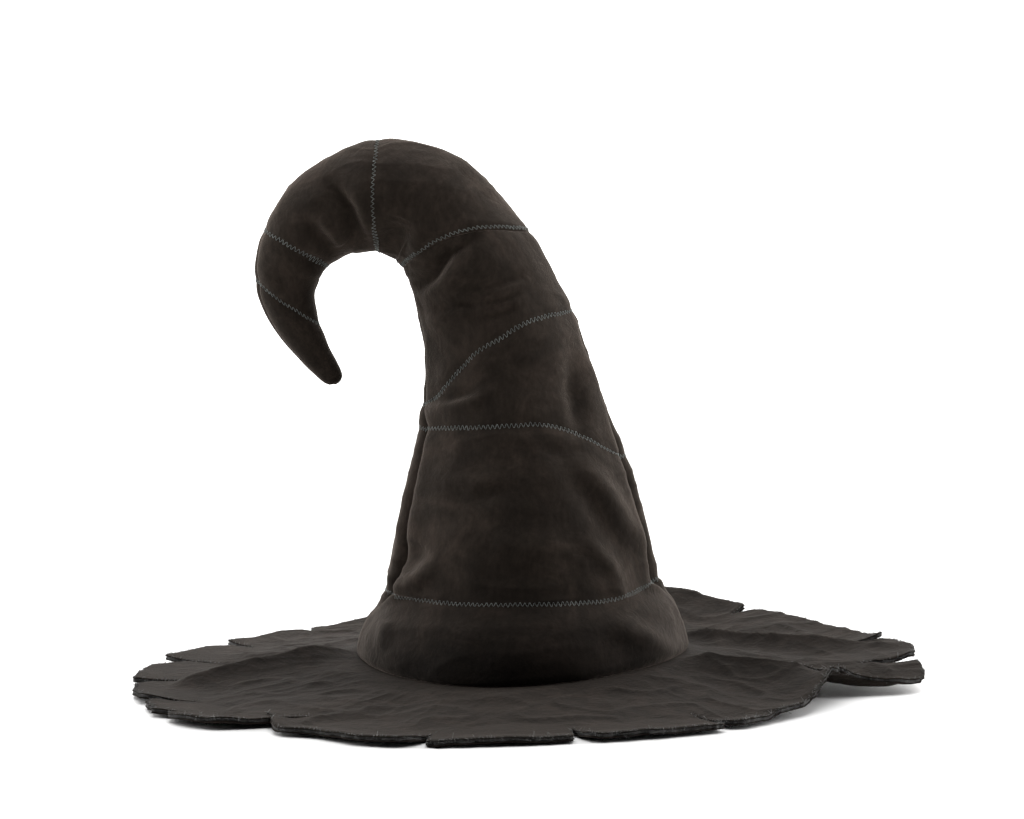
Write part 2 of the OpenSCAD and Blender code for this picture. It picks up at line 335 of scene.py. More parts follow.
def axis_of(tree, vector, axis):
    """One coordinate of a vector socket."""
    split = node(tree, "ShaderNodeSeparateXYZ")
    tree.links.new(vector, split.inputs["Vector"])
    return split.outputs[axis]


def shade(tree, colour, normal=None, **values):
    """Drives the principled shader with a colour, a normal and constants on its own sockets."""
    shader = tree.nodes["Principled BSDF"]
    for key, value in values.items():
        shader.inputs[key].default_value = value
    tree.links.new(colour, shader.inputs["Base Color"])
    if normal is not None:
        tree.links.new(normal, shader.inputs["Normal"])


BROWNS = (
    (0.30, (0.0120, 0.0091, 0.0070)), (0.50, (0.0195, 0.0146, 0.0113)), (0.70, (0.0335, 0.0247, 0.0197)),
)


def suede_material(name, tone, sheen, wrinkle, patch_size, foot_shade_tone=1.0):
    """Brushed dark brown suede: patches where the nap lies differently, a fine grain, and painted shade
    that darkens the foot.
    """
    foot_shade_low, foot_shade_high = 0.02, 0.075
    material, tree = new_material(name)
    place = place_of(tree)
    patches = noise_node(tree, place, 1 / patch_size, 6, 0.62, 1.2)
    streaks = node(tree, "ShaderNodeMapping", Scale=(1, 1, 0.45))
    tree.links.new(place, streaks.inputs["Vector"])
    fine = noise_node(tree, streaks.outputs["Vector"], 330, 5, 0.7)
    fibres = noise_node(tree, place, 2600, 3, 0.6)
    creases = noise_node(tree, place, 120, 4, 0.6, 1.6)
    base = ramp(tree, patches, [(at, [tone * c for c in brown]) for at, brown in BROWNS])
    grain = ramp(tree, fine, [(0.32, (0.78, 0.77, 0.76)), (0.68, (1.18, 1.18, 1.17))])
    colour = mixed(tree, "MULTIPLY", 1.0, base, grain)
    # painted shade: the colour grows darker towards the foot, below about 75 mm over the floor
    foot = node(tree, "ShaderNodeMapRange", **{
        "From Min": foot_shade_low, "From Max": foot_shade_high, "To Min": foot_shade_tone, "To Max": 1.0,
    })
    tree.links.new(axis_of(tree, place, "Z"), foot.inputs["Value"])
    shadow = node(tree, "ShaderNodeCombineColor")
    for channel in ("Red", "Green", "Blue"):
        tree.links.new(foot.outputs["Result"], shadow.inputs[channel])
    colour = mixed(tree, "MULTIPLY", 1.0, colour, shadow.outputs["Color"])
    lift = maths(tree, "ADD", maths(tree, "MULTIPLY", fine, 0.7), maths(tree, "MULTIPLY", fibres, 0.5))
    normal = bump(tree, lift, 0.5, 0.0005, bump(tree, creases, wrinkle, 0.003))
    shade(tree, colour, normal, **{
        "Roughness": 0.92, "Specular IOR Level": 0.10, "Sheen Weight": sheen, "Sheen Roughness": 0.38,
        "Sheen Tint": (0.84, 0.70, 0.60, 1),
    })
    return material


def lint_material():
    """Pale loose fibres."""
    material, tree = new_material("grey lint")
    cloud = noise_node(tree, place_of(tree), 240, 2)
    colour = ramp(tree, cloud, [(0.35, (0.050, 0.050, 0.048)), (0.65, (0.190, 0.188, 0.183))])
    shade(tree, colour, None, **{"Roughness": 0.9, "Specular IOR Level": 0.1})
    return material


def felt_material():
    """Dark grey felt: matted fibres with lighter specks."""
    material, tree = new_material("dark grey felt")
    place = place_of(tree)
    fibres = noise_node(tree, place, 1500, 4, 0.75, 1.2)
    clumps = noise_node(tree, place, 300, 3)
    base = ramp(tree, clumps, [(0.3, (0.028, 0.027, 0.026)), (0.7, (0.062, 0.060, 0.058))])
    grain = ramp(tree, fibres, [(0.35, (0.5, 0.5, 0.5)), (0.62, (1.2, 1.2, 1.2)), (0.78, (3.0, 3.0, 3.0))])
    colour = mixed(tree, "MULTIPLY", 1.0, base, grain)
    shade(tree, colour, bump(tree, fibres, 0.9, 0.0006), **{
        "Roughness": 0.95, "Specular IOR Level": 0.1, "Sheen Weight": 0.2, "Sheen Roughness": 0.5,
        "Sheen Tint": (0.9, 0.9, 0.9, 1),
    })
    return material


def thread_material(name, dark, light):
    """Twisted thread: fine diagonal plies."""
    material, tree = new_material(name)
    place = place_of(tree)
    plies = noise_node(tree, place, 2400, 2)
    wear = noise_node(tree, place, 160, 2)
    base = ramp(tree, wear, [(0.3, dark), (0.7, light)])
    colour = mixed(tree, "MULTIPLY", 0.6, base, ramp(tree, plies, [(0.3, (0.6,) * 3), (0.7, (1.3,) * 3)]))
    shade(tree, colour, bump(tree, plies, 0.5, 0.0002), **{
        "Roughness": 0.6, "Specular IOR Level": 0.35, "Sheen Weight": 0.15, "Sheen Roughness": 0.4,
    })
    return material


def ribbed_material(name, dark, light, ribs_per_m):
    """A ribbed or woven cloth; its ribs run upright."""
    material, tree = new_material(name)
    place = place_of(tree)
    turn = maths(tree, "ARCTAN2", axis_of(tree, place, "Y"), axis_of(tree, place, "X"))
    around = maths(tree, "MULTIPLY", turn, HEAD_R * MM * ribs_per_m * 2 * math.pi)
    upright = maths(tree, "MULTIPLY", axis_of(tree, place, "Z"), ribs_per_m * 2 * math.pi)
    weave = maths(tree, "MULTIPLY", maths(tree, "SINE", around, 0.0), maths(tree, "SINE", upright, 0.0))
    cloud = noise_node(tree, place, 220, 3)
    base = ramp(tree, cloud, [(0.3, dark), (0.7, light)])
    raised = maths(tree, "ADD", maths(tree, "MULTIPLY", weave, 0.5), 0.5)
    shadow = ramp(tree, raised, [(0.0, (0.7,) * 3), (1.0, (1.2,) * 3)])
    colour = mixed(tree, "MULTIPLY", 1.0, base, shadow)
    shade(tree, colour, bump(tree, weave, 0.35, 0.0002), **{
        "Roughness": 0.7, "Specular IOR Level": 0.3, "Sheen Weight": 0.2, "Sheen Roughness": 0.4,
    })
    return material


def stuffing_material():
    """Off-white polyester fill."""
    material, tree = new_material("polyester stuffing")
    place = place_of(tree)
    fluff = noise_node(tree, place, 180, 5, 0.7, 0.8)
    colour = ramp(tree, fluff, [(0.3, (0.52, 0.51, 0.48)), (0.7, (0.80, 0.79, 0.76))])
    shade(tree, colour, bump(tree, fluff, 0.8, 0.003), **{
        "Roughness": 0.95, "Specular IOR Level": 0.1, "Sheen Weight": 0.3, "Sheen Roughness": 0.5,
    })
    return material


def floor_material():
    """Pale, faintly glossy studio floor."""
    material, tree = new_material("pale studio floor")
    place = node(tree, "ShaderNodeTexCoord").outputs["Object"]
    cloud = noise_node(tree, place, 3, 2)
    colour = ramp(tree, cloud, [(0.3, (0.85, 0.85, 0.85)), (0.7, (0.88, 0.88, 0.88))])
    shade(tree, colour, None, **{"Roughness": 0.32, "Specular IOR Level": 0.4})
    return material


# the crown's suede, with strong painted shade darkening its foot
SUEDE = suede_material("dark brown suede", 1.00, 0.24, 0.2, 0.038, 0.34)
# a copy of the same suede for the brim, darkened to under half its tone and a little more near the floor:
# painted shade where the brim takes more light from above
SHADED_BRIM_SUEDE = suede_material("dark brown brim suede with painted shade", 0.47, 0.05, 0.35, 0.022, 0.9)
FELT = felt_material()
LINT = lint_material()
THREAD = thread_material("grey-green thread", (0.120, 0.134, 0.126), (0.230, 0.250, 0.238))
TAPE = ribbed_material("black grosgrain tape", (0.010, 0.009, 0.008), (0.020, 0.018, 0.016), 900)
LINING_CLOTH = ribbed_material("black lining cloth", (0.008, 0.007, 0.007), (0.017, 0.015, 0.014), 1400)
STUFFING = stuffing_material()


# ---- the crown's skin

def station(u):
    """x, z and half width of the centre line at u."""
    u = np.asarray(u, float)
    last = int(TIP_U)
    i = np.clip(np.floor(u).astype(int), 0, last - 1)
    before, after = SPINE[np.maximum(i - 1, 0)], SPINE[np.minimum(i + 2, last)]
    return catmull_rom(before, SPINE[i], SPINE[i + 1], after, (u - i)[..., None])


def heading(u):
    """Unit direction of the centre line in the x, z plane."""
    return unit((station(np.minimum(u + 0.05, TIP_U)) - station(np.maximum(u - 0.05, 0)))[..., :2])


def skin(u, a, inset=0.0):
    """A point of the crown; a is in radians, 0 at the right and a quarter turn at the front."""
    s, t = station(u), heading(u)
    w = np.maximum(s[..., 2] - inset, 0.4)
    return np.stack([
        s[..., 0] + t[..., 1] * w * np.cos(a), -np.sin(a) * w, s[..., 1] - t[..., 0] * w * np.cos(a),
    ], -1)


def travel_per_u(u, a):
    """How far the skin runs at a point for a step of 1 along the centre line."""
    return np.linalg.norm(skin(u + 0.05, a) - skin(u - 0.05, a), axis=-1) / 0.1


def bisect(is_under, lo, hi, shape):
    """Where is_under turns false between lo and hi."""
    lo, hi = np.full(shape, float(lo)), np.full(shape, float(hi))
    for _ in range(24):
        middle = (lo + hi) / 2
        under = is_under(middle)
        lo, hi = np.where(under, middle, lo), np.where(under, hi, middle)
    return (lo + hi) / 2


def brim_seam_z(a):
    """Height of the brim's seam at angle a, anticlockwise from the right."""
    return 15.8 + 1.7 * np.cos(a) + 1.5 * np.sin(a) + 2.6 * np.cos(2 * a) - 1.8 * np.sin(2 * a)


def seam_u(k, a, inset=0.0):
    """Where along the centre line seam k lies at angle a; seam 0 is the brim's and 8 the tip."""
    a = np.asarray(a, float)
    if k == 0:
        return bisect(lambda u: station(u)[..., 1] < brim_seam_z(-a) + 0.2, 0, 2, a.shape)
    if k == HOOK_SEAM:
        def inside(u):
            s, t = station(u), heading(u)
            x = (s[..., 2] - inset) * np.cos(a)
            dx = s[..., 0] + t[..., 1] * x - HINGE[0]
            dz = s[..., 1] - t[..., 0] * x - HINGE[1]
            return np.hypot(dx, dz) < HINGE_R

        return bisect(inside, 8, 11.6, a.shape)
    if k == 8:
        return np.full(a.shape, TIP_U - 0.02)
    places = np.array(SEAMS[k], float)
    last = len(places) - 1
    across = (np.cos(a) + 1) / 2 * last
    i = np.clip(np.floor(across).astype(int), 0, last - 1)
    before, after = places[np.maximum(i - 1, 0)], places[np.minimum(i + 2, last)]
    return catmull_rom(before, places[i], places[i + 1], after, across - i)


def eased(count, ease=0.075):
    """Steps from 0 to 1, closer together at both ends."""
    t = np.linspace(0, 1, count)
    return t - ease * np.sin(2 * math.pi * t)


def base_grid(k, front):
    """Band k's smooth skin, with each point's angle and place along the centre line."""
    rows = eased(BAND_ROWS[k] + 1)[:, None]
    cols = eased(HALF_COLS + 1, 0.1)[None, :]
    turned = rows ** 6 if k == 0 else rows
    right = np.radians(mix(RIGHT_TURN[k], RIGHT_TURN[k + 1], turned))
    left = np.radians(180 - mix(LEFT_TURN[k], LEFT_TURN[k + 1], turned))
    if front:
        a = mix(right, left, cols)
    else:
        a = mix(left, 2 * math.pi + right, cols)
    u = mix(seam_u(k, a), seam_u(k + 1, a), rows)
    return skin(u, a), a, u


def steps_along(grid, axis):
    """Length along the grid from its first row or column."""
    step = np.linalg.norm(np.diff(grid, axis=axis), axis=-1)
    start = np.zeros_like(np.take(step, [0], axis))
    return np.concatenate([start, np.cumsum(step, axis)], axis)


# Folds of the stuffed crown, seen from the front: points x, z; height in steps of FOLD_STEP; half width
# A negative height is a crease. Both ends of each fade out
FOLD_STEP = 2.5
FOLDS = (
    # the hollow of the hook, over and under the hook's seam
    (((-67, 245), (-56, 254), (-51, 261), (-45, 269), (-31, 277)), -3.4, 3.2),
    (((-64, 238), (-52, 244), (-42, 252), (-33, 262)), 1.6, 6.0),
    (((-80, 266), (-78, 277), (-74, 290)), -2.2, 6.5),
    (((-66, 262), (-66, 275), (-62, 287)), 1.4, 5.0),
    # the inner side of the hook's bend
    (((-131, 286), (-123, 276), (-116, 267)), -1.9, 3.0),
    (((-125, 290), (-117, 281), (-111, 272)), 1.2, 3.2),
    (((-118, 311), (-111, 302), (-105, 294), (-102, 285), (-98, 275)), -2.4, 2.6),
    (((-108, 308), (-100, 299), (-96, 289), (-94, 278)), 1.1, 4.5),
    (((-110, 294), (-106, 285), (-104, 276)), -1.6, 2.2),
    (((-138, 265), (-127, 262), (-121, 257)), -0.7, 2.4),
    (((-137, 257), (-127, 255), (-121, 251)), 0.4, 3.0),
    # drags under the hook's seam
    (((-27, 245), (-13, 250), (2, 255)), -1.1, 2.4),
    (((-24, 238), (-11, 241), (0, 245)), -1.0, 2.2),
    (((-30, 229), (-13, 232), (-3, 237)), -1.1, 2.4),
    (((-27, 241.5), (-12, 245.5), (2, 250)), 0.9, 2.2),
    (((-30, 233), (-12, 236.5), (2, 240.5)), 0.8, 2.2),
    (((-60, 225), (-49, 228), (-42, 231), (-36, 232), (-28, 230)), 1.5, 3.0),
    (((-50, 233), (-44, 234), (-37, 236), (-26, 236)), -1.3, 2.6),
    # the third band
    (((-58, 171), (-42, 175), (-30, 179), (-20, 184)), 1.4, 3.4),
    (((-52, 177), (-37, 182), (-25, 185)), -1.2, 2.6),
    (((31, 206), (31, 184), (36, 160)), -1.6, 4.0),
    (((39, 204), (40, 184), (45, 160)), 1.3, 5.0),
    # the second band
    (((-84, 60), (-69, 65), (-55, 81)), 1.9, 4.0),
    (((-74, 74), (-70, 82), (-62, 92)), -1.8, 6.0),
    (((34, 141), (50, 122), (63, 100), (76, 84)), 1.7, 4.5),
    (((26, 138), (41, 119), (53, 99), (64, 84)), -1.2, 5.0),
    (((36, 97), (53, 79), (61, 59)), 1.1, 3.5),
    (((-48, 126), (-30, 121), (-8, 127)), -0.9, 4.0),
    (((-50, 132), (-30, 128), (-10, 134)), 0.8, 4.0),
    (((8, 152), (24, 147), (38, 150)), -0.8, 3.4),
    (((-20, 96), (2, 90), (22, 95)), 0.8, 5.0),
    # the foot
    (((50, 48), (72, 37), (94, 22)), 1.6, 5.0),
    (((-79, 52), (-84, 38), (-88, 26)), 1.0, 3.0),
)


def fold_height(x, z, folds):
    """The sum of the folds at points x, z of a side view."""
    total = np.zeros_like(x)
    for points, height, half_width in folds:
        best = np.full(x.shape, 1e9)
        share = np.zeros_like(x)
        points = np.array(points, float)
        at = running_length(points)
        at /= at[-1]
        for i in range(len(points) - 1):
            d = points[i + 1] - points[i]
            t = np.clip(((x - points[i, 0]) * d[0] + (z - points[i, 1]) * d[1]) / (d @ d), 0, 1)
            far = np.hypot(x - points[i, 0] - d[0] * t, z - points[i, 1] - d[1] * t)
            nearer = far < best
            best = np.where(nearer, far, best)
            share = np.where(nearer, mix(at[i], at[i + 1], t), share)
        fade = np.sqrt(np.clip(np.sin(math.pi * np.clip(share, 0.02, 0.98)), 0, 1))
        total += FOLD_STEP * height * fade * np.exp(-0.5 * (best / half_width) ** 2)
    return total


def back_fold(points, height, half_width):
    """A fold of the back: one of the front's, shifted, lower and wider."""
    moved = tuple((x + 5 * math.sin(z * 0.11), z + 7 * math.cos(x * 0.07)) for x, z in points)
    return moved, height * 0.85, half_width * 1.1


BACK_FOLDS = tuple(back_fold(*fold) for fold in FOLDS)


def lift_of(k, front, grid, a, u):
    """How far each point of band k stands off the smooth skin."""
    up = steps_along(grid, 0)
    down = up[-1:] - up
    right = steps_along(grid, 1)
    left = right[:, -1:] - right
    side = np.minimum(right, left)
    width = station(u)[..., 2]
    # the lengthwise seams sink in and the halves puff out beside them
    sink = 5.6 * smooth(0, 60, width) + 0.5
    sink = sink * mix(0.14, 1, smooth(2.5, 3.4, u))
    lift = -sink * np.exp(-(side / (0.02 * width + 1.7)) ** 1.25)
    lift += 1.7 * smooth(0, 60, width) * np.exp(-0.5 * ((side - 9) / 6) ** 2)
    # the zigzag seams lie in shallow grooves, with puckers beside them
    for k_seam, off in ((k, up), (k + 1, down)):
        if k_seam in (0, 8):
            continue
        lift -= 0.8 * np.exp(-off / 2.6) - 0.35 * np.exp(-0.5 * ((off - 8) / 4.5) ** 2)
        pucker = noise(grid * (1, 1, 0.35) + k_seam * 41, 6.5, 3) * np.exp(-off / 6)
        lift += 0.34 * pucker * smooth(0, 3, off)
    if k == 0:
        lift -= 2.0 * np.clip(1 - up / 5, 0, 1) ** 2
    # the whole stuffed form is lumpy
    slim = smooth(4, 40, width)
    lumps = 1.1 * noise(grid, 52, 5) + 0.6 * noise(grid, 24, 6) + 0.18 * noise(grid * (1, 1, 1.6), 9, 7)
    lift += slim * lumps
    # drag lines run round the crown, under the pull of the seams
    drag = 1 - np.abs(noise(grid * (0.45, 0.45, 1.2) + 3 * noise(grid, 30, 9)[..., None], 21, 8))
    lift += slim * 0.6 * (drag ** 5 - 0.3)
    folds = FOLDS if front else BACK_FOLDS
    face = np.abs(np.sin(a))
    lift += fold_height(grid[..., 0], grid[..., 2], folds) * smooth(0.05, 0.35, face)
    return lift


def outward(grid, a, u):
    """Directions out of the skin, and the share of its lift that each point keeps in a tight bend."""
    normal = -grid_normals(grid)
    spoke = unit(skin(u, a) - skin(u, a, station(u)[..., 2] - 0.5))
    agree = (normal * spoke).sum(-1, keepdims=True)
    open_share = smooth(0.7, 0.95, agree)
    freedom = mix(0.2, 1, open_share[..., 0] * smooth(3, 12, travel_per_u(u, a)))
    return unit(mix(spoke, normal, open_share)), freedom


def share_edge(a, b, a_edge, b_edge):
    """Gives two panels one direction and one height at each point of the edge they share."""
    for part in (1, 2):
        middle = (a[part][a_edge] + b[part][b_edge]) / 2
        a[part][a_edge] = middle
        b[part][b_edge] = middle


def crown_grids():
    """The finished outer surface of each panel, as a grid of points."""
    found = {}
    for k in range(len(BANDS)):
        for front in (True, False):
            grid, a, u = base_grid(k, front)
            out, freedom = outward(grid, a, u)
            found[k, front] = grid, out, lift_of(k, front, grid, a, u) * freedom
    for k in range(len(BANDS)):
        share_edge(found[k, True], found[k, False], np.s_[:, 0], np.s_[:, -1])
        share_edge(found[k, True], found[k, False], np.s_[:, -1], np.s_[:, 0])
    for k in range(len(BANDS) - 1):
        for front in (True, False):
            share_edge(found[k, front], found[k + 1, front], -1, 0)
    return {key: grid + unit(out) * lift[..., None] for key, (grid, out, lift) in found.items()}


CROWN = crown_grids()


def finish_piece(obj, body, name):
    """Hides the CAD part that the piece stands for, and attaches the piece to its body; a piece of body
    'both' only has its place baked into its points.
    """
    if body == "both":
        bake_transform(obj)
    else:
        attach(obj, body)
    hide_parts(name)


def make_thread(name, body, points, faces):
    """The stitches of one seam as a piece."""
    finish_piece(make_mesh(name + "_stitches", points, faces, THREAD), body, name)


def body_of_band(k):
    return "crown" if k < 2 else "both" if k < HOOK_SEAM else "hook"


def quad_area(grid):
    a, b, c, d = grid[:-1, :-1], grid[:-1, 1:], grid[1:, 1:], grid[1:, :-1]
    return 0.5 * np.linalg.norm(np.cross(c - a, d - b), axis=-1).sum()


def make_panel(k, front):
    """One half of a band: a sheet of suede under its outer surface."""
    outer = CROWN[k, front]
    inner = outer + grid_normals(outer) * SUEDE_T
    points, faces = slab(outer, inner)
    name = f"{BANDS[k]}_{'front' if front else 'back'}"
    obj = make_mesh(name + "_suede", points, [face[::-1] for face in faces], SUEDE)
    finish_piece(obj, body_of_band(k), name)
    width = steps_along(outer, 1)[:, -1].max()
    length = steps_along(outer, 0)[-1].max()
    area = quad_area(base_grid(k, front)[0])


for band in range(len(BANDS)):
    make_panel(band, True)
    make_panel(band, False)


# ---- zigzag stitches

def skin_tree():
    """All the panels' outer faces, for laying thread on them."""
    points, faces, start = [], [], 0
    for grid in CROWN.values():
        rows, cols = grid.shape[:2]
        points.append(grid.reshape(-1, 3))
        faces.extend(grid_faces(rows, cols, start=start).tolist())
        start += rows * cols
    return BVHTree.FromPolygons(np.concatenate(points).tolist(), faces)


SKIN_TREE = skin_tree()
STITCH_STEP = 1.45
STITCH_W = 2.7
THREAD_R = 0.14


def centre_near(u):
    """The centre line's point at u."""
    s = station(u)
    return np.array([s[0], 0, s[1]])


def zigzag_path(k):
    """Points on the crown along a zigzag over seam k."""
    a = np.linspace(0, 2 * math.pi, 721)
    u = seam_u(k, a)
    if k == HOOK_SEAM:
        # wholly on the hook's side, clear of the joint
        travel = np.linalg.norm((station(u + 0.1) - station(u))[..., :2], axis=-1)
        u = u + (STITCH_W / 2 + 0.6) / travel * 0.1
    length = running_length(skin(u, a))
    stitches = 2 * round(length[-1] / STITCH_STEP / 2)
    steps = 6
    count = stitches * steps
    phase = np.arange(count) / steps
    at = phase / stitches * length[-1]
    a_at = np.interp(at, length, a)
    u_at = np.interp(at, length, u)
    swing = np.clip(1.25 * (2 * np.abs(phase % 2 - 1) - 1), -1, 1)
    wander = 0.12 * np.sin(phase * 1.7) + 0.1 * np.sin(phase * 0.61)
    off = (swing + wander) * STITCH_W / 2
    target = skin(u_at + off / np.maximum(travel_per_u(u_at, a_at), 9), a_at)
    # high in the middle of a stitch, and down through the suede at its ends
    rise = 0.32 - 0.62 * np.abs(swing) ** 5
    path = np.empty_like(target)
    for i, p in enumerate(target):
        found, normal, _, _ = SKIN_TREE.find_nearest(p)
        out = np.array(normal)
        if out @ (target[i] - centre_near(u_at[i])) < 0:
            out = -out
        path[i] = np.array(found) + out * rise[i]
    return path


def make_zigzag(k):
    make_thread(f"zigzag_{k}", body_of_band(k), *tube(zigzag_path(k), THREAD_R, 5, closed=True))


for seam in range(1, 8):
    make_zigzag(seam)


def side_seam_line(k0, k1, left, inset):
    """A lengthwise seam's line, moved in from the skin."""
    column = -1 if left else 0
    line = np.concatenate([CROWN[k, True][:, column] for k in range(k0, k1 + 1)])
    keep = np.concatenate([[True], np.linalg.norm(np.diff(line, axis=0), axis=1) > 0.05])
    line = line[keep]
    centre = np.array([station(u)[:2] for u in np.linspace(0, TIP_U, 400)])
    far = np.hypot(line[:, None, 0] - centre[:, 0], line[:, None, 2] - centre[:, 1])
    near = centre[np.argmin(far, axis=1)]
    inward = unit(np.stack([near[:, 0] - line[:, 0], -line[:, 1], near[:, 1] - line[:, 2]], -1))
    return line + inward * inset


def make_side_thread(name, k0, k1, left, body):
    """The stitches of a lengthwise seam over bands k0 to k1, just inside the panels."""
    line = side_seam_line(k0, k1, left, SUEDE_T + 0.4)
    length = running_length(line)
    at = np.arange(1.5, length[-1] - 1.5, 0.5)
    path = np.stack([np.interp(at, length, line[:, i]) for i in range(3)], -1)
    path[:, 1] += 0.35 * np.sin(at * 2 * math.pi / 3)
    make_thread(name, body, *tube(path, THREAD_R, 6))


make_side_thread("crown_right_seam_thread", 0, HOOK_SEAM - 1, False, "both")
make_side_thread("crown_left_seam_thread", 0, HOOK_SEAM - 1, True, "both")
make_side_thread("hook_top_seam_thread", HOOK_SEAM, 6, False, "hook")
make_side_thread("hook_under_seam_thread", HOOK_SEAM, 6, True, "hook")


# ---- the brim

BRIM_COLS = 900
BRIM_ROWS = 46
MEAN_EDGE_R = 240.0
# Crumples of the brim: height, size and seed of the noise
CRUMPLES = ((1.3, 46, 17), (0.45, 19, 18), (0.16, 7, 22), (0.05, 3.4, 23))


def edge_at(a_deg):
    """Radius and height of the brim's edge at an angle in degrees."""
    a_deg = (np.asarray(a_deg, float) + 180) % 360 - 180
    angles = BRIM_EDGE[:, 0]
    n = len(angles)
    i = np.clip(np.searchsorted(angles, a_deg, side="right") - 1, 0, n - 1)
    after = np.where(i + 1 < n, angles[(i + 1) % n], angles[0] + 360)
    t = ((a_deg - angles[i]) / (after - angles[i]))[..., None]
    made = catmull_rom(BRIM_EDGE[i - 1], BRIM_EDGE[i], BRIM_EDGE[(i + 1) % n], BRIM_EDGE[(i + 2) % n], t)
    return made[..., 1], made[..., 2]


def ridge_z(x, y):
    """Height of the standing folds."""
    total = np.zeros_like(x)
    for x0, y0, x1, y1, height, half_width in RIDGES:
        d = np.array([x1 - x0, y1 - y0], float)
        t = np.clip(((x - x0) * d[0] + (y - y0) * d[1]) / (d @ d), 0, 1)
        off = np.hypot(x - x0 - d[0] * t, y - y0 - d[1] * t) / half_width
        total += height * (0.35 * np.exp(-off * off / 2) + 0.65 * np.exp(-1.5 * off))
    return total


def edge_noise(angle, size, seed):
    """Noise round the brim's edge, so that it meets itself; angle is in radians."""
    ring = np.stack([MEAN_EDGE_R * np.cos(angle), MEAN_EDGE_R * np.sin(angle), np.zeros_like(angle)], -1)
    return noise(ring, size, seed)


def ragged(a_deg):
    """How far the torn edge runs in or out."""
    a = np.radians(a_deg)
    return 1.7 * edge_noise(a, 26, 11) + 1.1 * edge_noise(a, 9, 12) + 0.6 * edge_noise(a, 3.2, 13)


def flap_grids():
    """The brim's underside: a grid for each flap between two slits, and which rows join the flap before."""
    rng = np.random.default_rng(21)
    slits = sorted(SLITS)
    count = len(slits)
    half_gap = rng.uniform(0.5, 1.25, count)
    # heights of the two corners at each slit: the side towards the front lies lower
    far_side = rng.uniform(0.2, 2.0, count)
    near_side = -rng.uniform(0.2, 2.0, count)
    on_left = np.array([abs(slit[1]) > 90 for slit in slits])
    before = np.where(on_left, far_side, near_side)
    after = np.where(on_left, near_side, far_side)
    # the first two rows are the strip inside the crown
    rows = np.concatenate([[-0.064, -0.03], np.linspace(0, 1, BRIM_ROWS) ** 0.82])[:, None]
    flaps = []
    for n, (root, mouth, root_r, step) in enumerate(slits):
        m = (n + 1) % count
        turn = 360 if m == 0 else 0
        end_root, end_mouth, end_r = slits[m][0] + turn, slits[m][1] + turn, slits[m][2]
        span = end_root - root
        v = eased(max(12, round(BRIM_COLS * span / 360)) + 1, 0.06)[None, :]
        edge, edge_z = edge_at(mix(mouth, end_mouth, v))
        edge = edge + ragged(mix(mouth, end_mouth, v))
        r = mix(BRIM_BASE_R, edge, rows)
        open_first = np.clip((r - root_r) / (edge[:, :1] - root_r), 0, 1)
        open_last = np.clip((r - end_r) / (edge[:, -1:] - end_r), 0, 1)
        # the flap's first corner stands back, and both are worn round
        from_mouth = v * math.radians(end_mouth - mouth) * MEAN_EDGE_R
        r = r - step * (1 - smooth(0, 8 + 0.9 * step, from_mouth)) * open_first
        from_corner = np.minimum(v, 1 - v) * math.radians(span) * MEAN_EDGE_R
        r = r - 1.6 * np.exp(-from_corner / 1.4) * smooth(0.93, 1, rows)
        turn_first = (1 - v) * open_first * (mouth + half_gap[n] - root)
        turn_last = v * open_last * (end_mouth - half_gap[m] - end_root)
        a = np.radians(mix(root, end_root, v) + turn_first + turn_last)
        flat = np.stack([r * np.cos(a), r * np.sin(a), np.zeros_like(r)], -1)
        z = brim_height(rows, r, a, flat, edge_z)
        z = z + after[n] * open_first ** 1.2 * np.exp(-v * span / 7)
        z = z + before[m] * open_last ** 1.2 * np.exp(-(1 - v) * span / 7)
        flat[..., 2] = np.maximum(z, 0.25 + 0.2 * noise(flat, 12, 21))
        flaps.append((flat, r[:, 0] <= root_r))
    return flaps


def brim_height(rows, r, a, p, edge_z):
    """Height of the brim's underside over the floor at points p of the plan, before the flaps part."""
    t = np.clip(rows, 0, 1)
    base = brim_seam_z(a) - BRIM_T
    z = base * (1 - t) ** 1.4 + edge_z * t * t
    z = z + ridge_z(p[..., 0], p[..., 1]) * np.minimum(1, 5 * t) * (1 - t ** 3)
    # radial waves, crumples and a few sharper creases
    polar = np.stack([np.cos(a) * 120, np.sin(a) * 120, r * 0.2], -1)
    z = z + smooth(0.0, 0.5, t) * (1.5 * noise(polar, 34, 14) + 0.5 * noise(polar, 13, 15))
    z = z + smooth(0, 0.12, t) * sum(height * noise(p, size, seed) for height, size, seed in CRUMPLES)
    crease = 1 - np.abs(noise(p + 6 * noise(p, 40, 24)[..., None], 38, 43))
    z = z + 1.2 * smooth(0.03, 0.2, t) * (crease ** 8 - 0.2)
    fine = 1 - np.abs(noise(polar + 4 * noise(p, 18, 27)[..., None], 15, 28))
    z = z + 0.5 * smooth(0.05, 0.25, t) * (fine ** 6 - 0.25)
    # the last centimetre curls up off the floor
    z = np.maximum(z, 0.3)
    return z + smooth(0.86, 1.0, t) * (0.9 - 0.8 * np.sin(a) + 0.9 * edge_noise(a, 30, 20))


def underside_mesh():
    """The whole underside's points and faces, with the flaps welded where no slit parts them."""
    flaps = flap_grids()
    starts = np.cumsum([0] + [grid.shape[0] * grid.shape[1] for grid, joined in flaps])
    points = np.concatenate([grid.reshape(-1, 3) for grid, joined in flaps])
    target = np.arange(len(points))
    faces = []
    for n, (grid, joined) in enumerate(flaps):
        rows, cols = grid.shape[:2]
        faces.append(grid_faces(rows, cols, start=starts[n]))
        last = (n - 1) % len(flaps)
        last_cols = flaps[last][0].shape[1]
        for j in np.nonzero(joined)[0]:
            target[starts[n] + j * cols] = starts[last] + j * last_cols + last_cols - 1
    used, faces = np.unique(target[np.concatenate(faces)], return_inverse=True)
    return points[used], faces.reshape(-1, 4)


def boundary_edges(faces):
    """Edges that only one face has, in that face's direction."""
    edges = np.concatenate([faces[:, [i, (i + 1) % 4]] for i in range(4)])
    key = np.sort(edges, axis=1)
    _, index, count = np.unique(key, axis=0, return_index=True, return_counts=True)
    return edges[index[count == 1]]


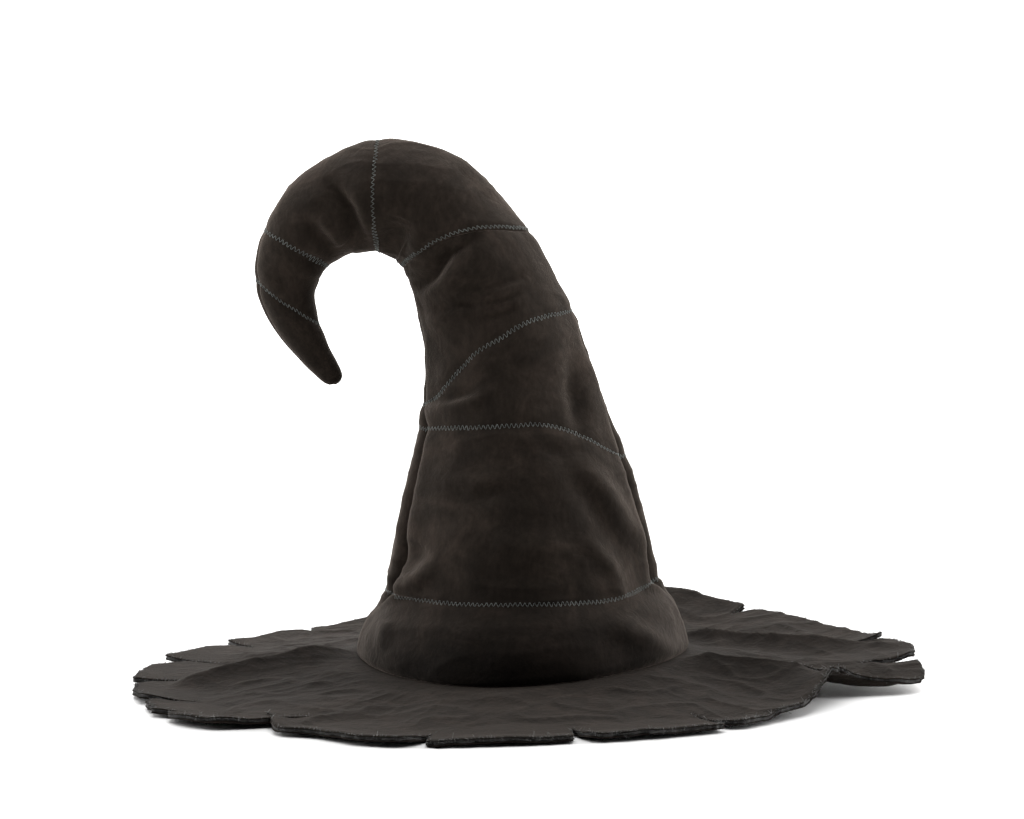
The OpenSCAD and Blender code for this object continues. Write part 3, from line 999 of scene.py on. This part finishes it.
def thick(top, bottom, faces, border):
    """A closed sheet between two sets of matching points."""
    size = len(top)
    walls = np.stack([border[:, 1], border[:, 0], border[:, 0] + size, border[:, 1] + size], -1)
    return np.concatenate([top, bottom]), np.concatenate([faces, faces[:, ::-1] + size, walls]).tolist()


def near_border(points, border):
    """Each point's distance to the brim's cut edge."""
    outer = np.unique(border)
    outer = outer[np.hypot(points[outer, 0], points[outer, 1]) > BRIM_BASE_R]
    tree = KDTree(len(outer))
    for i, at in enumerate(outer):
        tree.insert((points[at, 0], points[at, 1], 0), i)
    tree.balance()
    far = np.empty(len(points))
    for i, p in enumerate(points):
        far[i] = tree.find((p[0], p[1], 0))[2]
    return far


def edge_out(points, border):
    """Unit directions out of the sheet along its border."""
    out = np.zeros((len(points), 3))
    d = points[border[:, 1]] - points[border[:, 0]]
    side = unit(np.stack([d[:, 1], -d[:, 0], np.zeros(len(d))], -1))
    np.add.at(out, border[:, 0], side)
    np.add.at(out, border[:, 1], side)
    return unit(out)


LINT_COUNT = 8500


def make_lint(points, border, out):
    """Loose fibres and short threads that stand out of the torn edge."""
    rng = np.random.default_rng(5)
    radius = np.hypot(points[border[:, 0], 0], points[border[:, 0], 1])
    border = border[radius > BRIM_BASE_R + 30]
    parts = []
    for _ in range(LINT_COUNT):
        i = border[rng.integers(len(border)), 0]
        start = points[i] + (0, 0, BRIM_T * (1 - abs(rng.normal(0, 0.4))))
        length = 0.5 + rng.exponential(0.5)
        aim = out[i] + rng.normal(0, 0.7, 3)
        aim /= np.linalg.norm(aim)
        bend = rng.normal(0, 1.0, 3)
        t = np.linspace(0, 1, 4)[:, None]
        path = start + aim * t * length + bend * t * t * length * 0.5
        path[:, 2] = np.maximum(path[:, 2], 0.15)
        parts.append(tube(path, rng.uniform(0.09, 0.15), 3))
    obj = make_mesh("brim_edge_lint", *join_parts(parts), LINT)
    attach(obj, "crown")


def make_brim():
    """Three sheets with worn edges, one over the other, and the lint."""
    points, faces = underside_mesh()
    border = boundary_edges(faces)
    out = edge_out(points, border)
    worn = np.exp(-near_border(points, border) / 1.3)
    at_hole = np.hypot(points[:, 0], points[:, 1]) < BRIM_BASE_R

    def make_layer(name, material, low, high, push, worn_top, worn_bottom):
        pushed = points + out * np.where(at_hole, 0, push)[:, None]
        top, bottom = pushed + (0, 0, high), pushed + (0, 0, low)
        top[:, 2] -= worn_top * worn
        bottom[:, 2] += worn_bottom * worn
        obj = make_mesh(name + "_sheet", *thick(top, bottom, faces, border), material)
        finish_piece(obj, "crown", name)

    felt_top = FACE_T + FELT_T
    under_push = -0.2 + 0.8 * noise(points, 2.6, 33)
    felt_push = 0.5 + noise(points, 3.2, 31) + 0.8 * noise(points, 1.3, 32)
    top_push = -0.2 + 0.8 * noise(points, 2.6, 35)
    make_layer("brim_underside", SHADED_BRIM_SUEDE, 0.0, FACE_T, under_push, 0, 0.35)
    make_layer("brim_felt", FELT, FACE_T, felt_top, felt_push, 0, 0)
    make_layer("brim_top", SHADED_BRIM_SUEDE, felt_top, BRIM_T, top_push, 0.5, 0)
    make_lint(points, border, out)


make_brim()


def ring_stitches(name, radius, height_at, pitch, stitch):
    """Running stitches round a ring: each a short bar with its ends turned out into the cloth."""
    parts = []
    count = round(2 * math.pi * radius / pitch)
    r = radius + 0.35 * np.abs(np.linspace(-1, 1, 6)) ** 4
    half = stitch / 2 / radius
    for i in range(count):
        a = 2 * math.pi * i / count + np.linspace(-half, half, 6)
        parts.append(tube(np.stack([r * np.cos(a), r * np.sin(a), height_at(a)], -1), THREAD_R, 5))
    make_thread(name, "crown", *join_parts(parts))


BRIM_THREAD_R = 98.3
SWEATBAND_THREAD_R = HEAD_R + SWEATBAND_T + 0.3
ring_stitches("brim_seam_thread", BRIM_THREAD_R, lambda a: brim_seam_z(a) + 0.5, 3.4, 2.6)
ring_stitches("sweatband_thread", SWEATBAND_THREAD_R, lambda a: SWEATBAND_Z + 1.5 + 0 * a, 3.2, 2.5)


# ---- inside the crown

def ring_grid(profile, cols, wave):
    """A profile of radius and height turned round the upright axis, and moved by wave(angle, share)."""
    a = np.linspace(0, 2 * math.pi, cols, endpoint=False)[None, :]
    r = profile[:, 0][:, None]
    z = profile[:, 1][:, None]
    dr, dz = wave(a, np.linspace(0, 1, len(profile))[:, None])
    r = r + dr
    z = z + dz
    return np.stack([r * np.cos(a), r * np.sin(a), z], -1)


def make_sweatband():
    """The tape inside the rim, with rounded edges and a slight waviness."""
    t = np.linspace(0, 1, 14)
    z = SWEATBAND_Z + SWEATBAND_H * t
    edge = 0.25 * np.exp(-np.minimum(t, 1 - t) * SWEATBAND_H / 0.8)
    profile = np.stack([HEAD_R + edge, z], -1)
    back = np.stack([HEAD_R + SWEATBAND_T - edge, z], -1)

    def wave(a, s):
        return 0.12 * np.sin(9 * a) * s * (1 - s) * 4, 0 * a

    inner, outer = ring_grid(profile, 240, wave), ring_grid(back, 240, wave)
    obj = make_mesh("sweatband_tape", *slab(outer, inner, True), TAPE)
    finish_piece(obj, "crown", "sweatband")


def make_lining():
    """A dome of thin cloth with gathers that run up from its rim."""
    rim_r = HEAD_R + SWEATBAND_T
    rim_z = SWEATBAND_Z + SWEATBAND_H
    outline = np.array([
        (rim_r - 0.3, rim_z), (rim_r - 0.6, rim_z + 0.8), (rim_r - 3.2, rim_z + 3), (85.5, 44),
        (81, 52), (77, 62), (71, 78), (58, 94), (34, 102), (1.0, 104),
    ])
    length = running_length(outline)
    at = np.linspace(0, length[-1], 60)
    profile = np.stack([np.interp(at, length, outline[:, i]) for i in range(2)], -1)

    def wave(a, s):
        gathers = 1 + np.sin(23 * a + 0.8 * np.sin(5 * a)) * 0.6 + 0.4 * np.sin(41 * a + 1.1)
        depth = (1 - s) * gathers
        return -smooth(0.05, 0.2, s) * depth, -0.8 * smooth(0.4, 0.9, s) * depth

    outer = ring_grid(profile, 300, wave)
    out = grid_normals(outer, True)
    inner = outer - out * 0.5
    inner[..., 2] = np.where(np.arange(60)[:, None] == 0, outer[..., 2], inner[..., 2])
    obj = make_mesh("lining_dome", *slab(outer, inner, True), LINING_CLOTH)
    finish_piece(obj, "crown", "lining")


def make_stuffing(name, k0, k1, u0, u1, body):
    """A lumpy body of fill inside the panels."""
    inset = SUEDE_T + 1.4
    a = np.linspace(0, 2 * math.pi, 96, endpoint=False)[None, :]
    share = np.linspace(0, 1, 70)[:, None]
    low = np.full(a.shape, u0) if k0 is None else seam_u(k0, a, inset) + 0.02
    high = np.full(a.shape, u1) if k1 is None else seam_u(k1, a, inset) - 0.02
    u = mix(low, high, share)
    grid = skin(u, a, inset + 4.5)
    out = -grid_normals(grid, True)
    grid = grid + out * (1.1 * noise(grid, 24, 41) + 0.6 * noise(grid, 10, 42) - 1.6)[..., None]
    first, last = grid[:1], grid[-1:]
    cap = [mix(first.mean(1, keepdims=True), first, f) for f in (0.03, 0.35, 0.7, 0.9)]
    end_cap = [mix(last.mean(1, keepdims=True), last, f) for f in (0.9, 0.7, 0.35, 0.03)]
    grid = np.concatenate([*cap, grid, *end_cap])
    rows, cols = grid.shape[:2]
    faces = [f[::-1] for f in grid_faces(rows, cols, True).tolist()]
    faces.append(list(range(cols)))
    faces.append([(rows - 1) * cols + k for k in range(cols)][::-1])
    obj = make_mesh(name + "_fill", grid.reshape(-1, 3), faces, STUFFING)
    finish_piece(obj, body, name)


make_sweatband()
make_lining()
make_stuffing("crown_stuffing", None, HOOK_SEAM, 4.45, None, "both")
make_stuffing("hook_stuffing", HOOK_SEAM, None, None, TIP_U - 0.25, "hook")


# ---- studio

def make_camera():
    data = bpy.data.cameras.new("camera")
    data.lens = 113.2
    data.sensor_width = 36
    camera = bpy.data.objects.new("camera", data)
    camera.location = (-0.0068, -2.0, 0.310)
    camera.rotation_euler = (math.radians(85.99), 0, 0)
    bpy.context.scene.collection.objects.link(camera)
    bpy.context.scene.camera = camera


def make_floor():
    """A wide disc under the hat."""
    rings = np.concatenate([[2], np.linspace(300, 2000, 8)])
    a = np.linspace(0, 2 * math.pi, 96, endpoint=False)
    points = np.stack([np.outer(rings, np.cos(a)), np.outer(rings, np.sin(a)), np.outer(rings, 0 * a)], -1)
    points = points.reshape(-1, 3)
    faces = grid_faces(len(rings), len(a), True).tolist()
    faces = [face[::-1] for face in faces] + [list(range(len(a)))]
    floor = make_mesh("studio_floor", points, faces, floor_material(), False)


def make_world():
    """White behind the hat, and dark over the camera's side."""
    world = bpy.data.worlds.new("studio")
    bpy.context.scene.world = world
    world.use_nodes = True
    tree = world.node_tree
    way = node(tree, "ShaderNodeTexCoord").outputs["Generated"]
    front = eased_range(tree, axis_of(tree, way, "Y"), 0.30, -0.38)
    height = eased_range(tree, axis_of(tree, way, "Z"), 0.05, 0.22)
    top = eased_range(tree, axis_of(tree, way, "Z"), 0.45, 0.9)
    dark = mixed(tree, "MIX", height, (0.15, 0.15, 0.15), (0.05, 0.05, 0.05))
    bright = mixed(tree, "MIX", top, (2.3, 2.28, 2.25), (1.0, 0.99, 0.98))
    colour = mixed(tree, "MIX", front, bright, dark)
    tree.links.new(colour, tree.nodes["Background"].inputs["Color"])


def make_light(name, place, aim, size, power):
    data = bpy.data.lights.new(name, "AREA")
    data.shape = "SQUARE"
    data.size = size
    data.energy = power
    light = bpy.data.objects.new(name, data)
    light.location = place
    light.rotation_euler = (Vector(aim) - Vector(place)).to_track_quat("-Z", "Y").to_euler()
    light.visible_camera = False
    bpy.context.scene.collection.objects.link(light)


def make_studio():
    make_camera()
    make_floor()
    make_world()
    make_light("overhead softbox", (0.0, 0.35, 2.4), (0, 0, 0), 2.6, 76)
    make_light("left softbox", (-1.9, 0.35, 0.7), (0, 0, 0.15), 1.1, 22)
    make_light("right softbox", (1.9, 0.35, 0.7), (0, 0, 0.15), 1.1, 24)
    bpy.context.scene.view_settings.view_transform = "Standard"


make_studio()
